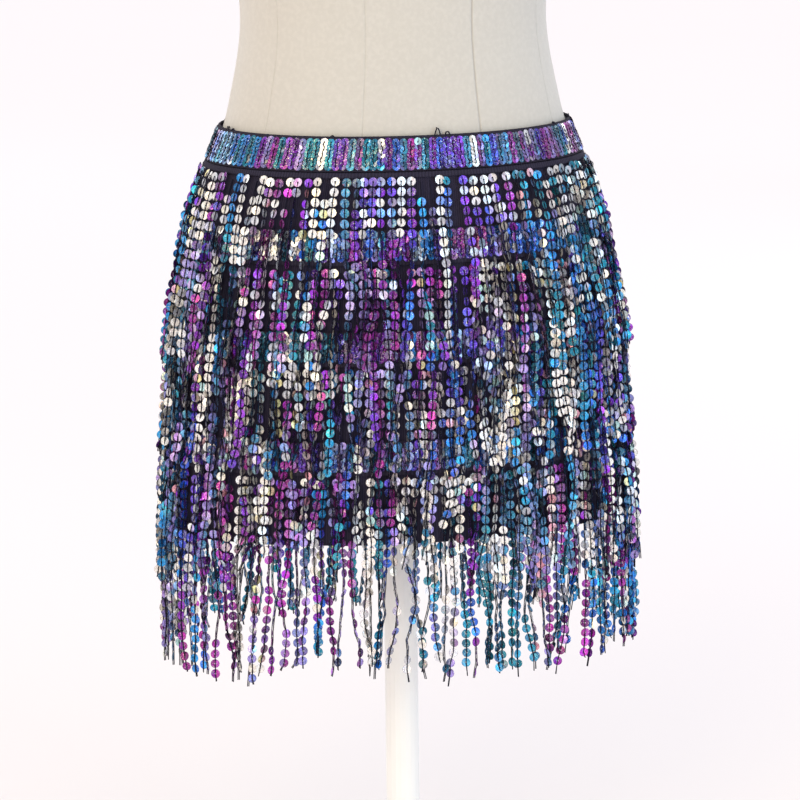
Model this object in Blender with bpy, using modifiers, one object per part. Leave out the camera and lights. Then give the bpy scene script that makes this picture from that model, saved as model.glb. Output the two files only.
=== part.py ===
"""A belly dance hip scarf worn as a short skirt, on the dress form that carries it.

The skirt is an elastic waistband, a stretch lining and four tiers of hanging fringe. The form stands on
a short pole and a round base. Metres, +Z up, origin at the centre of the base's underside. The front
faces -Y.
"""

from collections import namedtuple
from math import cos, exp, pi, sin
from random import Random

import bmesh
import bpy
from mathutils import Vector

COLLECTION = "Hip scarf on a dress form"

# The form's outline: each row is one level section, from the form's lowest level to the top of the neck.
# bust is how far two soft mounds stand out of the front.
Section = namedtuple("Section", "height half_width front_depth back_depth bust")
SECTIONS = (
    Section(0.298, 0.1708, 0.1015, 0.1140, 0.0),
    Section(0.330, 0.1697, 0.1025, 0.1170, 0.0),
    Section(0.354, 0.1677, 0.1035, 0.1195, 0.0),
    Section(0.379, 0.1652, 0.1045, 0.1215, 0.0),
    Section(0.407, 0.1637, 0.1050, 0.1225, 0.0),
    Section(0.435, 0.1621, 0.1055, 0.1225, 0.0),
    Section(0.461, 0.1594, 0.1050, 0.1210, 0.0),
    Section(0.482, 0.1556, 0.1040, 0.1190, 0.0),
    Section(0.503, 0.1518, 0.1025, 0.1160, 0.0),
    Section(0.529, 0.1464, 0.1000, 0.1110, 0.0),
    Section(0.545, 0.1428, 0.0985, 0.1080, 0.0),
    Section(0.562, 0.1375, 0.0970, 0.1040, 0.0),
    Section(0.592, 0.1255, 0.0940, 0.0970, 0.0),
    Section(0.617, 0.1196, 0.0915, 0.0910, 0.0),
    Section(0.641, 0.1148, 0.0895, 0.0865, 0.0),
    Section(0.663, 0.1123, 0.0880, 0.0840, 0.0),
    Section(0.690, 0.1133, 0.0880, 0.0840, 0.0),
    Section(0.725, 0.1195, 0.0905, 0.0865, 0.0),
    Section(0.760, 0.1275, 0.0945, 0.0915, 0.0),
    Section(0.795, 0.1345, 0.0985, 0.0955, 0.005),
    Section(0.817, 0.1380, 0.1015, 0.0970, 0.013),
    Section(0.838, 0.1405, 0.1035, 0.0980, 0.018),
    Section(0.860, 0.1420, 0.1020, 0.0985, 0.015),
    Section(0.890, 0.1450, 0.0970, 0.0985, 0.007),
    Section(0.925, 0.1510, 0.0880, 0.0960, 0.001),
    Section(0.965, 0.1630, 0.0765, 0.0900, 0.0),
    Section(0.997, 0.1745, 0.0660, 0.0815, 0.0),
    Section(1.019, 0.1775, 0.0585, 0.0725, 0.0),
    Section(1.035, 0.1675, 0.0530, 0.0645, 0.0),
    Section(1.047, 0.1405, 0.0495, 0.0590, 0.0),
    Section(1.058, 0.1060, 0.0485, 0.0555, 0.0),
    Section(1.070, 0.0770, 0.0485, 0.0525, 0.0),
    Section(1.087, 0.0595, 0.0495, 0.0510, 0.0),
    Section(1.120, 0.0530, 0.0530, 0.0530, 0.0),
)
BUST_X = 0.070  # sideways place of each mound
BUST_SPREAD = 0.042  # how wide each mound is
COLUMNS = 48  # facets round the form and the cloth, and strands round each tier

# The form's underside, above the lining's hem, with a rounded edge.
FORM_BOTTOM = 0.319
FORM_EDGE = ((0.3225, -0.002), (FORM_BOTTOM, -0.008))  # height, how far inside the form's side

# Cloth, as distances out from the form's surface.
GAP = 0.0003  # between pieces that touch
LINING_INSIDE = 0.0006
LINING_WALL = 0.0012
LINING_TOP = 0.590
LINING_HEM = 0.298
BAND_INSIDE = 0.0023
BAND_WALL = 0.0016
BAND_TOP = 0.592
BAND_HEIGHT = 0.025
TAPE_INSIDE = 0.0024  # the tapes that carry the fringe
TAPE_WALL = 0.0016

# Each tier's tape, whether it is turned by half a facet, and how its strands hang: rows of a height and
# the distance out from the form there, down to their ends.
Tier = namedtuple("Tier", "tape_top tape_bottom turned hang")
TIERS = (
    Tier(BAND_TOP - BAND_HEIGHT - GAP, 0.5625, 0.0, ((0.529, 0.0074), (0.461, 0.0082), (0.417, 0.0094))),
    Tier(0.526, 0.501, 0.5, ((0.461, 0.0056), (0.407, 0.0074), (0.355, 0.0090))),
    Tier(0.454, 0.429, 0.0, ((0.379, 0.0062), (0.340, 0.0074), (0.262, 0.0086))),
    Tier(0.3745, 0.3495, 0.5, ((0.298, 0.0048), (0.197, 0.0056))),
)
STRAND_WIDTH = 0.0100
STRAND_THICKNESS = 0.0016
STRAND_ROOT = 0.005  # height over which a strand narrows below its tape
STRAND_SHORTFALL = 0.014  # the most that a strand ends short of its tier's reach

# The stand: outlines are pairs of a radius and a height, down the outer side.
BASE_OUTLINE = (
    (0.0, 0.020),
    (0.038, 0.020),
    (0.170, 0.012),
    (0.185, 0.010),
    (0.190, 0.006),
    (0.190, 0.002),
    (0.188, 0.0),
    (0.0, 0.0),
)
BASE_THICKNESS = BASE_OUTLINE[0][1]
POLE_RADIUS = 0.0125
COLLAR_RADIUS = 0.028  # the flange against the base or the form
COLLAR_NECK = 0.0185
COLLAR_HEIGHT = 0.022
FLANGE_HEIGHT = 0.006
FLANGE_RIM = 0.003
CAP_OUTLINE = ((0.0, 0.015), (0.027, 0.014), (0.046, 0.011), (0.0545, 0.006), (0.0545, 0.0), (0.0, 0.0))
BASE_STEPS = 48  # sides of a turned piece
SMALL_STEPS = 20
SHARP_EDGE = pi / 5  # a turn above this between two faces is shaded as an edge


def section_at(height):
    """The form's section at a height, straight between rows, and constant below the lowest one."""
    if height <= SECTIONS[0].height:
        return SECTIONS[0]
    for low, high in zip(SECTIONS, SECTIONS[1:]):
        if height <= high.height:
            share = (height - low.height) / (high.height - low.height)
            return Section(*(a + (b - a) * share for a, b in zip(low, high)))
    return SECTIONS[-1]


def surface_point(turn, height, out=0.0):
    """A point on the form, or moved out from it: turn 0 is the front, and 0.25 is the +X side."""
    section = section_at(height)
    angle = 2 * pi * turn
    facing = cos(angle)
    depth = section.front_depth if facing > 0 else section.back_depth
    x = section.half_width * sin(angle)
    y = -depth * facing
    outward = Vector((sin(angle) / section.half_width, -facing / depth, 0)).normalized()
    if facing > 0:
        for side in (-1, 1):
            away = (x - side * BUST_X) / BUST_SPREAD
            y -= section.bust * exp(-away * away) * facing
    return Vector((x, y, height)) + outward * out


def loop_points(height, out=0.0, turned=0.0):
    """One level loop round the form, with a point at each column."""
    return [surface_point((column + turned) / COLUMNS, height, out) for column in range(COLUMNS)]


def heights_between(low, high):
    """The two heights, with the form's own levels between them."""
    return [low, *(s.height for s in SECTIONS if low < s.height < high), high]


def ring_of(mesh, points):
    return [mesh.verts.new(point) for point in points]


def skin(mesh, rings):
    """Quads between one closed ring of vertices and the next."""
    for ring, following in zip(rings, rings[1:]):
        for i in range(len(ring)):
            j = (i + 1) % len(ring)
            mesh.faces.new((ring[i], ring[j], following[j], following[i]))


def material(name, colour, roughness, metallic=0.0):
    made = bpy.data.materials.new(name)
    made.use_nodes = True
    shader = made.node_tree.nodes["Principled BSDF"]
    shader.inputs["Base Color"].default_value = (*colour, 1)
    shader.inputs["Roughness"].default_value = roughness
    shader.inputs["Metallic"].default_value = metallic
    return made


def add_piece(name, mesh, finish, place=(0, 0, 0)):
    """Turns a bmesh into a named object in the object's collection."""
    data = bpy.data.meshes.new(name)
    mesh.to_mesh(data)
    mesh.free()
    data.materials.append(finish)
    data.shade_smooth()
    data.set_sharp_from_angle(angle=SHARP_EDGE)
    piece = bpy.data.objects.new(name, data)
    piece.location = place
    bpy.data.collections[COLLECTION].objects.link(piece)
    return piece


def add_cloth_tube(name, low, high, inside, wall, finish):
    """A tube of cloth round the form, open at both ends."""
    mesh = bmesh.new()
    skin(mesh, [ring_of(mesh, loop_points(h, inside)) for h in heights_between(low, high)])
    piece = add_piece(name, mesh, finish)
    thickness = piece.modifiers.new("Cloth thickness", "SOLIDIFY")
    thickness.thickness = wall
    thickness.offset = 1
    thickness.use_even_offset = True
    return piece


def strand_ring(mesh, turn, height, out):
    """The four corners of a strand's section, in the order of the tape's own corners."""
    centre = surface_point(turn, height, out)
    step = 0.5 / COLUMNS
    along = surface_point(turn + step, height) - surface_point(turn - step, height)
    outward = surface_point(turn, height, 1) - surface_point(turn, height)
    half_width = along.normalized() * STRAND_WIDTH / 2
    half_thickness = outward.normalized() * STRAND_THICKNESS / 2
    return ring_of(
        mesh,
        (
            centre - half_width - half_thickness,
            centre + half_width - half_thickness,
            centre + half_width + half_thickness,
            centre - half_width + half_thickness,
        ),
    )


def add_strand(mesh, root, turn, tier, shortfall):
    """Grows one strand down from four vertices of its tape's lower edge."""
    middle = TAPE_INSIDE + TAPE_WALL / 2
    *hang, (end_height, end_out) = tier.hang
    levels = [(tier.tape_bottom - STRAND_ROOT, middle), *hang, (end_height + shortfall, end_out)]
    rings = [root, *(strand_ring(mesh, turn, height, out) for height, out in levels)]
    skin(mesh, rings)
    mesh.faces.new(rings[-1])


def add_fringe(number, tier, finish):
    """A tape round the form, with a strand hanging from each of its facets."""
    mesh = bmesh.new()
    corners = (
        (tier.tape_bottom, TAPE_INSIDE),
        (tier.tape_top, TAPE_INSIDE),
        (tier.tape_top, TAPE_INSIDE + TAPE_WALL),
        (tier.tape_bottom, TAPE_INSIDE + TAPE_WALL),
    )
    loops = [ring_of(mesh, loop_points(height, out, tier.turned)) for height, out in corners]
    skin(mesh, loops)
    inner, outer = loops[0], loops[-1]
    lengths = Random(number)
    for column in range(COLUMNS):
        following = (column + 1) % COLUMNS
        root = [inner[column], inner[following], outer[following], outer[column]]
        turn = (column + 0.5 + tier.turned) / COLUMNS
        add_strand(mesh, root, turn, tier, lengths.uniform(0, STRAND_SHORTFALL))
    bmesh.ops.recalc_face_normals(mesh, faces=mesh.faces)
    return add_piece(f"fringe_tier_{number}", mesh, finish)


def add_form(finish):
    """The padded torso, from its rounded underside to the top of its neck."""
    mesh = bmesh.new()
    edge_height = FORM_EDGE[0][0]
    levels = [(h, inset) for h, inset in reversed(FORM_EDGE)]
    levels += [(s.height, 0.0) for s in SECTIONS if s.height > edge_height]
    rings = [ring_of(mesh, loop_points(height, out)) for height, out in levels]
    skin(mesh, rings)
    mesh.faces.new(rings[0])
    mesh.faces.new(rings[-1])
    bmesh.ops.recalc_face_normals(mesh, faces=mesh.faces)
    return add_piece("form_torso", mesh, finish)


def add_turned(name, profile, steps, finish, closed=False, place=(0, 0, 0)):
    """A turned piece: the profile runs down its outer side, as (radius, height) pairs."""
    mesh = bmesh.new()
    points = [mesh.verts.new((radius, 0, height)) for radius, height in profile]
    for upper, lower in zip(points, points[1:]):
        mesh.edges.new((upper, lower))
    if closed:
        mesh.edges.new((points[-1], points[0]))
    piece = add_piece(name, mesh, finish, place)
    turning = piece.modifiers.new("Turned", "SCREW")
    turning.steps = turning.render_steps = steps
    turning.use_merge_vertices = True
    turning.merge_threshold = 0.00005
    return piece


def add_collar(name, height, finish, upright=True):
    """A flange round the pole, wide against the base or against the form's underside."""
    inside = POLE_RADIUS + GAP
    outline = [
        (inside, COLLAR_HEIGHT),
        (COLLAR_NECK, COLLAR_HEIGHT),
        (COLLAR_NECK, FLANGE_HEIGHT),
        (COLLAR_RADIUS, FLANGE_RIM),
        (COLLAR_RADIUS, 0.0),
        (inside, 0.0),
    ]
    if not upright:
        outline = [(radius, COLLAR_HEIGHT - h) for radius, h in reversed(outline)]
    return add_turned(name, outline, SMALL_STEPS, finish, closed=True, place=(0, 0, height))


def add_pole(finish):
    foot = BASE_THICKNESS + GAP
    length = FORM_BOTTOM - GAP - foot
    mesh = bmesh.new()
    bmesh.ops.create_cone(
        mesh,
        cap_ends=True,
        segments=SMALL_STEPS,
        radius1=POLE_RADIUS,
        radius2=POLE_RADIUS,
        depth=length,
    )
    return add_piece("stand_pole", mesh, finish, place=(0, 0, foot + length / 2))


def clear_scene():
    for old in list(bpy.data.objects):
        bpy.data.objects.remove(old, do_unlink=True)


def build():
    clear_scene()
    bpy.context.scene.collection.children.link(bpy.data.collections.new(COLLECTION))

    knit = material("Black stretch knit", (0.012, 0.012, 0.016), 0.85)
    elastic = material("Sequinned elastic", (0.23, 0.16, 0.42), 0.3, 0.6)
    linen = material("Cream form cover", (0.76, 0.72, 0.66), 0.9)
    paint = material("White painted steel", (0.85, 0.84, 0.82), 0.4)
    cap_paint = material("Cream painted wood", (0.74, 0.69, 0.61), 0.45)
    tier_colours = ((0.34, 0.28, 0.52), (0.22, 0.25, 0.5), (0.25, 0.2, 0.42), (0.17, 0.22, 0.36))

    add_cloth_tube("lining", LINING_HEM, LINING_TOP, LINING_INSIDE, LINING_WALL, knit)
    add_cloth_tube("waistband", BAND_TOP - BAND_HEIGHT, BAND_TOP, BAND_INSIDE, BAND_WALL, elastic)
    for number, (tier, colour) in enumerate(zip(TIERS, tier_colours), 1):
        sequins = material(f"Sequin fringe {number}", colour, 0.3, 0.6)
        add_fringe(number, tier, sequins)

    add_form(linen)
    neck_top = (0, 0, SECTIONS[-1].height + GAP)
    add_turned("neck_cap", CAP_OUTLINE, SMALL_STEPS, cap_paint, place=neck_top)
    add_collar("form_collar", FORM_BOTTOM - GAP - COLLAR_HEIGHT, paint, upright=False)
    add_pole(paint)
    add_collar("pole_collar", BASE_THICKNESS + GAP, paint)
    add_turned("stand_base", BASE_OUTLINE, BASE_STEPS, paint)


build()
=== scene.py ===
from collections import namedtuple
from math import cos, pi, radians, sin

import bpy
import numpy as np
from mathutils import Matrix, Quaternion, Vector


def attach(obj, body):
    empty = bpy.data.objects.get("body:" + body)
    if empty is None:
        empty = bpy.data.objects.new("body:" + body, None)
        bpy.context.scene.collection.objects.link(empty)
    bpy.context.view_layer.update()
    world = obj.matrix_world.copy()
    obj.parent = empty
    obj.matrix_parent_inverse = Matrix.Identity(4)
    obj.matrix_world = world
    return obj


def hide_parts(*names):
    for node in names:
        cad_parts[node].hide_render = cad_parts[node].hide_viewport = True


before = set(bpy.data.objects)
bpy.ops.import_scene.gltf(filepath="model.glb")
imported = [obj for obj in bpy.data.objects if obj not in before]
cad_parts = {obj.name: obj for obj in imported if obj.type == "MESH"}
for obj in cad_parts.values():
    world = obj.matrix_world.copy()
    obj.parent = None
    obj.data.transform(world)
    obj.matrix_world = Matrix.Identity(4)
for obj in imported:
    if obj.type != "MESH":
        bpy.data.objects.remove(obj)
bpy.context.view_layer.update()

# The dress form's outline: level sections from the lowest level up to the top of the neck, in metres.
# bust is how far two soft mounds stand out of the front.
SECTIONS = np.array((
    # height half_width front_depth back_depth bust
    (0.298, 0.1708, 0.1015, 0.1140, 0.0),
    (0.330, 0.1697, 0.1025, 0.1170, 0.0),
    (0.354, 0.1677, 0.1035, 0.1195, 0.0),
    (0.379, 0.1652, 0.1045, 0.1215, 0.0),
    (0.407, 0.1637, 0.1050, 0.1225, 0.0),
    (0.435, 0.1621, 0.1055, 0.1225, 0.0),
    (0.461, 0.1594, 0.1050, 0.1210, 0.0),
    (0.482, 0.1556, 0.1040, 0.1190, 0.0),
    (0.503, 0.1518, 0.1025, 0.1160, 0.0),
    (0.529, 0.1464, 0.1000, 0.1110, 0.0),
    (0.545, 0.1428, 0.0985, 0.1080, 0.0),
    (0.562, 0.1375, 0.0970, 0.1040, 0.0),
    (0.592, 0.1255, 0.0940, 0.0970, 0.0),
    (0.617, 0.1196, 0.0915, 0.0910, 0.0),
    (0.641, 0.1148, 0.0895, 0.0865, 0.0),
    (0.663, 0.1123, 0.0880, 0.0840, 0.0),
    (0.690, 0.1133, 0.0880, 0.0840, 0.0),
    (0.725, 0.1195, 0.0905, 0.0865, 0.0),
    (0.760, 0.1275, 0.0945, 0.0915, 0.0),
    (0.795, 0.1345, 0.0985, 0.0955, 0.005),
    (0.817, 0.1380, 0.1015, 0.0970, 0.013),
    (0.838, 0.1405, 0.1035, 0.0980, 0.018),
    (0.860, 0.1420, 0.1020, 0.0985, 0.015),
    (0.890, 0.1450, 0.0970, 0.0985, 0.007),
    (0.925, 0.1510, 0.0880, 0.0960, 0.001),
    (0.965, 0.1630, 0.0765, 0.0900, 0.0),
    (0.997, 0.1745, 0.0660, 0.0815, 0.0),
    (1.019, 0.1775, 0.0585, 0.0725, 0.0),
    (1.035, 0.1675, 0.0530, 0.0645, 0.0),
    (1.047, 0.1405, 0.0495, 0.0590, 0.0),
    (1.058, 0.1060, 0.0485, 0.0555, 0.0),
    (1.070, 0.0770, 0.0485, 0.0525, 0.0),
    (1.087, 0.0595, 0.0495, 0.0510, 0.0),
    (1.120, 0.0530, 0.0530, 0.0530, 0.0),
))
BUST_X = 0.070
BUST_SPREAD = 0.042
FORM_BOTTOM = 0.319
HIP_HEIGHT = 0.45
WAIST_HEIGHT = 0.663
FORM_TOP = 1.120

# Cloth, as distances out from the form.
LINING_INSIDE = 0.0006
LINING_WALL = 0.0011
LINING_TOP = 0.590
LINING_HEM = 0.298
BAND_INSIDE = 0.0023
BAND_WALL = 0.0016
BAND_TOP = 0.592
BAND_BOTTOM = 0.567
BAND_MARGIN = 0.0012  # bare elastic above the sequins
TAPE_INSIDE = 0.0024
TAPE_WALL = 0.0016
LINING_COLUMNS, BAND_COLUMNS = 256, 288  # round the lining, and round the band and each tape
TRIM_START = 0.0280  # the turn at which the ends of each trim meet

# The sequins and how they are strung.
SEQUIN_WIDTH = 0.0067
SEQUIN_MIDDLE = 0.00032  # thickness at the hole
SEQUIN_SIDES = 12
SEQUIN_FOLD = 0.12  # rise of each half, from the line of the thread outwards
HOLE_SHARE = 0.20  # the hole's share of the width
STRAND_PITCH = 0.0073
COLUMN_PITCH = 0.0056  # between the sewn columns of a header
HEADER_OVERLAP = 0.0033  # down a sewn column of a tier's header
BAND_OVERLAP = 0.00284  # and of the waistband
THREAD_SWING = 0.00040  # how far the thread of a sewn column crosses to each side
HEADER_SCALE = 0.85  # the sewn sequins of the headers, beside the hanging ones
THREAD_WIDTH = 0.00084
THREAD_LIFT = 0.00050  # from the middle of a sequin to the thread across it
THREAD_DIP = 0.00035  # how far the thread of a sewn column dips between two holes

# Each tier: its tape, how many strands it has and sequins on the longest, how many rows at the top lie
# flat, how freely the strands turn and sway, how uneven their starts and spacing are, and how they hang,
# as rows of a height and a distance out from the form.
Tier = namedtuple("Tier", "tape_top tape_bottom strands sequins flat_rows freedom uneven hang")
TIERS = (
    Tier(
        0.5667, 0.5625, 117, 20, 4.5, 1.05, 0.0008,
        ((0.5645, 0.0046), (0.526, 0.0074), (0.461, 0.0084), (0.410, 0.0096)),
    ),
    Tier(
        0.526, 0.501, 138, 20, 0.4, 1.15, 0.0016,
        ((0.501, 0.0044), (0.461, 0.0060), (0.407, 0.0076), (0.350, 0.0090)),
    ),
    Tier(0.454, 0.429, 140, 23, 0.4, 1.15, 0.0017, ((0.429, 0.0044), (0.379, 0.0060), (0.262, 0.0084))),
    Tier(0.3745, 0.3495, 140, 20, 0.4, 1.20, 0.0016, ((0.3495, 0.0044), (0.298, 0.0050), (0.195, 0.0058))),
)

# Near the middle of the front, as far as the next value on each side, the strands start in even rows and
# lie flat.
CALM_TURN = -0.03
CALM_REACH = 0.065

# How often a strand of each tier is short by 0 to 7 sequins, in the front on the form's right, where the
# fringe is sparse. Elsewhere, between the next two turns, it is short by a fifth as many.
SHORTAGES = (
    (0.44, 0.26, 0.14, 0.08, 0.05, 0.03, 0.00, 0.00),
    (0.36, 0.24, 0.16, 0.12, 0.07, 0.05, 0.00, 0.00),
    (0.00, 0.02, 0.08, 0.12, 0.18, 0.22, 0.22, 0.16),
    (0.78, 0.13, 0.04, 0.02, 0.02, 0.01, 0.00, 0.00),
)
FULL_TURNS = (0.03, 0.87)
FULL_SHARE = 5

# How the strands hang. Lengths are in metres, turns of a sequin in radians, and odds from 0 to 1.
FLAT_ODDS = (0.85, 0.45)  # that a strand's top lies flat, near the middle of the front and elsewhere
ROUGH_START = 1.8  # how much more unevenly the strands start elsewhere
FIRST_LOST = (0.90, 0.05, 0.03, 0.02)  # odds that the first 0 to 3 sequins have come off
LOST_ODDS = 0.004  # that any other has
TAILS = (0.0010, 0.0024, 0.0065)  # bare thread below the last sequin
TAIL_ODDS = (0.35, 0.40, 0.25)
SWAY = 0.0026
CLOSE_FROM, CLOSE_SPAN = 0.80, 0.20  # the share of its length from which a closed pair draws together
CLOSED_ODDS = 0.45
CLOSED_GAP = 0.0010  # between the two strands of a closed pair
GATHER = 0.0024  # how far neighbouring pairs lean to one side
DRIFT = 0.0018  # and each pair on its own
STRAY_ODDS = 0.07
STRAY_REACH = (0.004, 0.010)
SHORTER_ODDS = 0.3  # that one strand of an open pair has a sequin less
PAIR_TWIST = 0.75
OWN_TWIST = 0.7

# The dye and foil colours of the sequins, round a circle of hues, and the pale ones.
HUES = np.array((
    (0.006, 0.200, 0.280),  # teal
    (0.018, 0.240, 0.600),  # sky blue
    (0.014, 0.095, 0.500),  # royal blue
    (0.085, 0.030, 0.400),  # violet
    (0.160, 0.014, 0.330),  # purple
    (0.280, 0.018, 0.230),  # magenta
    (0.270, 0.210, 0.560),  # lilac
    (0.050, 0.190, 0.360),  # slate
))
TEAL, SKY, ROYAL, VIOLET, PURPLE, MAGENTA, LILAC, SLATE = range(8)
PALES = np.array((
    (0.66, 0.67, 0.75),  # silver
    (0.96, 0.89, 0.77),  # cream
    (0.92, 0.40, 0.50),  # pink
    (0.78, 0.68, 0.32),  # gold
    (0.52, 0.84, 0.86),  # aqua
))
PALE_SHARES = (0.50, 0.28, 0.09, 0.04, 0.09)
SMOKE = np.array((0.13, 0.13, 0.21))
# A warm white painted highlight: the flare of a sequin that mirrors a lamp face-on.
FLARE = np.array((0.98, 0.93, 0.88))
# A sequin's paleness runs from below -1 to above 1. Each effect starts at one value and is full so much on.
PALE_START, PALE_SPAN = 0.46, 0.24
SMOKE_START, SMOKE_SPAN = -0.95, 0.60
FLARE_START, FLARE_SPAN = 0.95, 0.20
STRAND_PALENESS = 0.20
BAND_PALENESS = -0.58
HEADER_PALENESS = -0.25
# How bright the hues are on the strands, the band and the headers, and how much that varies.
STRAND_SHADE, STRAND_SPREAD = 1.22, 0.36
BAND_SHADE, HEADER_SHADE, COLUMN_SPREAD = 0.74, 0.70, 0.28
# Painted holographic glints of the film, as places on a ramp.
GLINTS = (
    (0.30, (0.12, 0.72, 0.92)),
    (0.42, (0.78, 0.86, 0.98)),
    (0.50, (0.66, 0.95, 0.50)),
    (0.57, (0.97, 0.90, 0.80)),
    (0.66, (0.97, 0.36, 0.50)),
    (0.78, (0.62, 0.28, 0.95)),
)

# Where one colour gathers on the skirt: its turn and height, how far it reaches, its hue, and its strength,
# and how much paler or darker it makes the sequins.
Patch = namedtuple("Patch", "turn height reach_turn reach_height hue strength pale")
PATCHES = tuple(Patch(*row) for row in (
    (-0.150, 0.540, 0.075, 0.044, SLATE, 0.2, 0.85),
    (-0.180, 0.440, 0.060, 0.070, LILAC, 0.3, 0.45),
    (-0.045, 0.545, 0.030, 0.034, SKY, 0.5, 0.50),
    (0.040, 0.485, 0.024, 0.060, PURPLE, 0.7, -0.20),
    (0.030, 0.545, 0.012, 0.030, MAGENTA, 0.6, -0.20),
    (-0.090, 0.580, 0.026, 0.012, SKY, 0.0, 0.80),
    (0.150, 0.535, 0.055, 0.036, LILAC, 0.4, 0.55),
    (0.160, 0.440, 0.050, 0.060, ROYAL, 0.3, 0.20),
    (-0.180, 0.350, 0.070, 0.060, PURPLE, 0.35, -0.10),
    (0.000, 0.360, 0.060, 0.040, TEAL, 0.25, 0.10),
    (0.140, 0.290, 0.080, 0.060, SLATE, 0.3, 0.10),
    (0.000, 0.225, 9.000, 0.040, SLATE, 0.3, -0.15),
    (-0.095, 0.420, 0.030, 0.045, LILAC, 0.2, 0.60),
    (-0.040, 0.580, 0.045, 0.012, MAGENTA, 0.3, 0.12),
    (0.080, 0.500, 0.045, 0.050, VIOLET, 0.2, 0.35),
))


def slopes_of(rows):
    """The slope of each column of the table at each row, by the rows on both sides."""
    rise = np.diff(rows, axis=0) / np.diff(rows[:, 0])[:, None]
    inner = (rise[1:] + rise[:-1]) / 2
    return np.vstack((rise[:1], inner, rise[-1:]))


SLOPES = slopes_of(SECTIONS)


def section_at(height):
    """Half width, front depth, back depth and bust at each height, smoothly between the rows."""
    height = np.clip(np.asarray(height, float), SECTIONS[0, 0], SECTIONS[-1, 0])
    low = np.clip(np.searchsorted(SECTIONS[:, 0], height, side="right") - 1, 0, len(SECTIONS) - 2)
    span = SECTIONS[low + 1, 0] - SECTIONS[low, 0]
    share = ((height - SECTIONS[low, 0]) / span)[..., None]
    span = span[..., None]
    before, after = SECTIONS[low, 1:], SECTIONS[low + 1, 1:]
    leaving, arriving = SLOPES[low, 1:] * span, SLOPES[low + 1, 1:] * span
    smooth = (
        before * (2 * share**3 - 3 * share**2 + 1)
        + leaving * (share**3 - 2 * share**2 + share)
        + after * (3 * share**2 - 2 * share**3)
        + arriving * (share**3 - share**2)
    )
    return np.moveaxis(smooth, -1, 0)


def on_form(turn, height, out=0.0):
    """Points on the form or moved out from it: turn 0 is the front and 0.25 is the +X side."""
    turn, height, out = np.broadcast_arrays(np.asarray(turn, float), height, out)
    half_width, front, back, bust = section_at(height)
    across, facing = np.sin(2 * pi * turn), np.cos(2 * pi * turn)
    depth = np.where(facing > 0, front, back)
    x, y = half_width * across, -depth * facing
    outward = outward_at(turn, height)
    for side in (-1, 1):
        away = (x - side * BUST_X) / BUST_SPREAD
        y = y - np.clip(bust, 0, None) * np.exp(-(away**2)) * np.clip(facing, 0, None)
    return np.stack((x, y, height), -1) + outward * out[..., None]


def outward_at(turn, height):
    """The level direction out of the form."""
    half_width, front, back, _bust = section_at(height)
    across, facing = np.sin(2 * pi * turn), np.cos(2 * pi * turn)
    depth = np.where(facing > 0, front, back)
    return unit(np.stack((across / half_width, -facing / depth, np.zeros_like(across * depth)), -1))


def unit(vectors):
    return vectors / np.linalg.norm(vectors, axis=-1, keepdims=True)


def even_turns(count, height, start):
    """Turns that are evenly spaced along the girth at a height."""
    fine = np.linspace(0, 1, 1441)
    loop = on_form(fine, height)
    walked = np.concatenate(([0], np.cumsum(np.linalg.norm(np.diff(loop, axis=0), axis=1))))
    shift = np.interp(start % 1, fine, walked)
    places = (shift + (np.arange(count) + 0.5) / count * walked[-1]) % walked[-1]
    return np.interp(places, walked, fine)


def girth_at(height):
    loop = on_form(np.linspace(0, 1, 721), height)
    return float(np.linalg.norm(np.diff(loop, axis=0), axis=1).sum())


class Wire:
    """One output of a node. Sums and products of wires add the Math nodes that work them out."""

    def __init__(self, nodes, socket):
        self.nodes = nodes
        self.socket = socket

    def other(self, name):
        """Another output of the same node."""
        return Wire(self.nodes, self.socket.node.outputs[name])

    def math(self, operation, *values):
        return self.nodes.add("ShaderNodeMath", dict(enumerate(values)), operation=operation)

    def __add__(self, other):
        return self.math("ADD", self, other)

    __radd__ = __add__

    def __sub__(self, other):
        return self.math("SUBTRACT", self, other)

    def __rsub__(self, other):
        return self.math("SUBTRACT", other, self)

    def __mul__(self, other):
        return self.math("MULTIPLY", self, other)

    def __truediv__(self, other):
        return self.math("DIVIDE", self, other)

    def __rtruediv__(self, other):
        return self.math("DIVIDE", other, self)

    def __pow__(self, other):
        return self.math("POWER", self, other)

    def __lt__(self, other):
        return self.math("LESS_THAN", self, other)

    def __abs__(self):
        return self.math("ABSOLUTE", self)

    def fade(self, low, high):
        """0 below low and 1 above high, or the other way round where low is above high."""
        ends = {0: self, 1: min(low, high), 2: max(low, high)}
        share = self.nodes.add("ShaderNodeMapRange", ends, interpolation_type="SMOOTHSTEP")
        return share if low < high else 1 - share


class Nodes:
    """Adds nodes to one tree."""

    def __init__(self, tree):
        self.tree = tree

    def add(self, kind, values=None, output=0, **settings):
        """A node with its settings and the values or wires of its inputs, by name or by place."""
        node = self.tree.nodes.new(kind)
        for name, value in settings.items():
            setattr(node, name, value)
        for name, value in (values or {}).items():
            for part in value if isinstance(value, list) else [value]:
                if isinstance(part, Wire):
                    self.tree.links.new(part.socket, node.inputs[name])
                else:
                    node.inputs[name].default_value = part
        return Wire(self, node.outputs[output]) if len(node.outputs) else node

    def mix(self, share, first, second, blend="MIX"):
        """A colour between two colours."""
        first, second = (c if isinstance(c, Wire) else (*c, 1) for c in (first, second))
        values = {0: share, 6: first, 7: second}
        return self.add("ShaderNodeMix", values, output=2, data_type="RGBA", blend_type=blend)

    def noise(self, vector, scale, detail=2.0, roughness=0.5):
        values = {"Vector": vector, "Scale": scale, "Detail": detail, "Roughness": roughness}
        return self.add("ShaderNodeTexNoise", values)


def set_stops(ramp, stops):
    """Gives a colour ramp its stops, as pairs of a place and a colour."""
    while len(ramp.elements) < len(stops):
        ramp.elements.new(1.0)
    for element, (place, colour) in zip(ramp.elements, stops):
        element.position = place
        element.color = (*colour, 1)


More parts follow.
